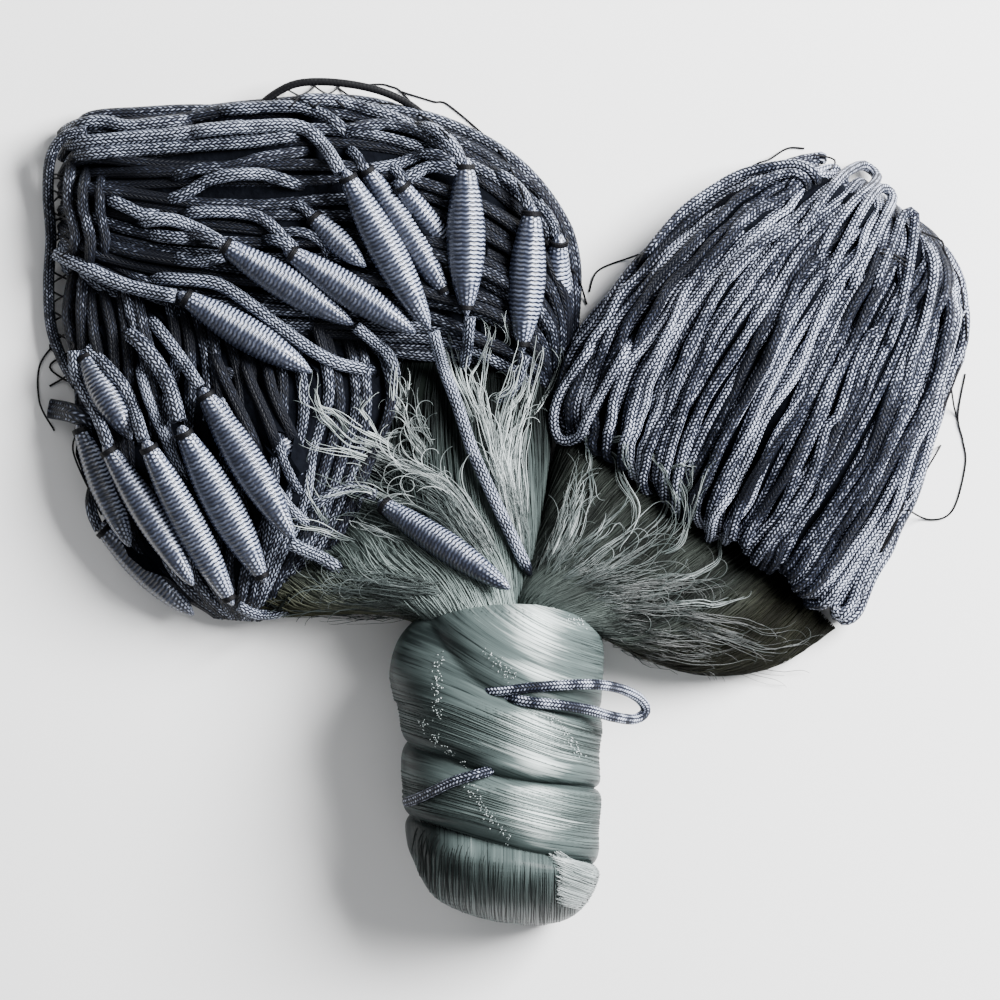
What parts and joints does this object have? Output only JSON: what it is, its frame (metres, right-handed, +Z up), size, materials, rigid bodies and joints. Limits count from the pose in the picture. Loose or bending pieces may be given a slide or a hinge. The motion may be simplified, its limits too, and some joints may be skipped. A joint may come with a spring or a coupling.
{
  "type": "bundled gill net",
  "caption": "Gill net gathered for storage: fine netting twisted into a thick handle, its float line and lead line bunched into two lobes.",
  "frame": {"origin": "on the surface that the bundle lies on, under the middle of its outline", "axes": "+X to the right across the bundle, from the float line to the lead line; +Y from the twisted handle towards the lines; +Z up"},
  "size_m": [0.3724, 0.341, 0.0743],
  "materials": {
    "netting": "glossy pale grey-green monofilament strands",
    "lead_line": "braided navy and pale grey cord over a lead core",
    "float_line": "braided dark navy cord with a pale fleck",
    "float_cover": "ribbed braided sleeve stretched over a foam float",
    "wall_netting": "thin black knotted twine"
  },
  "bodies": {
    "root": {"netting": "netting", "lead_line": "lead_line", "float_line": "float_line", "float_01": "float_cover", "float_02": "float_cover", "float_03": "float_cover", "float_04": "float_cover", "float_05": "float_cover", "float_06": "float_cover", "float_07": "float_cover", "float_08": "float_cover", "float_09": "float_cover", "float_10": "float_cover", "float_11": "float_cover", "float_12": "float_cover", "float_13": "float_cover", "float_14": "float_cover", "float_15": "float_cover", "float_16": "float_cover", "float_17": "float_cover", "float_18": "float_cover", "float_19": "float_cover", "line_bend_to_first": "float_line", "line_front_feed": "float_line", "line_front_return": "float_line", "line_third_tail": "float_line", "line_waist_lead": "float_line", "line_upright_tail": "float_line", "line_right_tail": "float_line", "line_fat_feed": "float_line", "line_inner_feed": "float_line", "line_low_feed": "float_line", "line_between": "float_line", "line_arc": "float_line", "line_tail_end": "float_line", "line_bottom_bight": "float_line", "line_left_stub": "float_line", "line_edge_run": "float_line", "line_wall_net_edge": "wall_netting", "line_tucked_end": "lead_line", "line_tie_loop": "lead_line"}
  },
  "joints": []
}
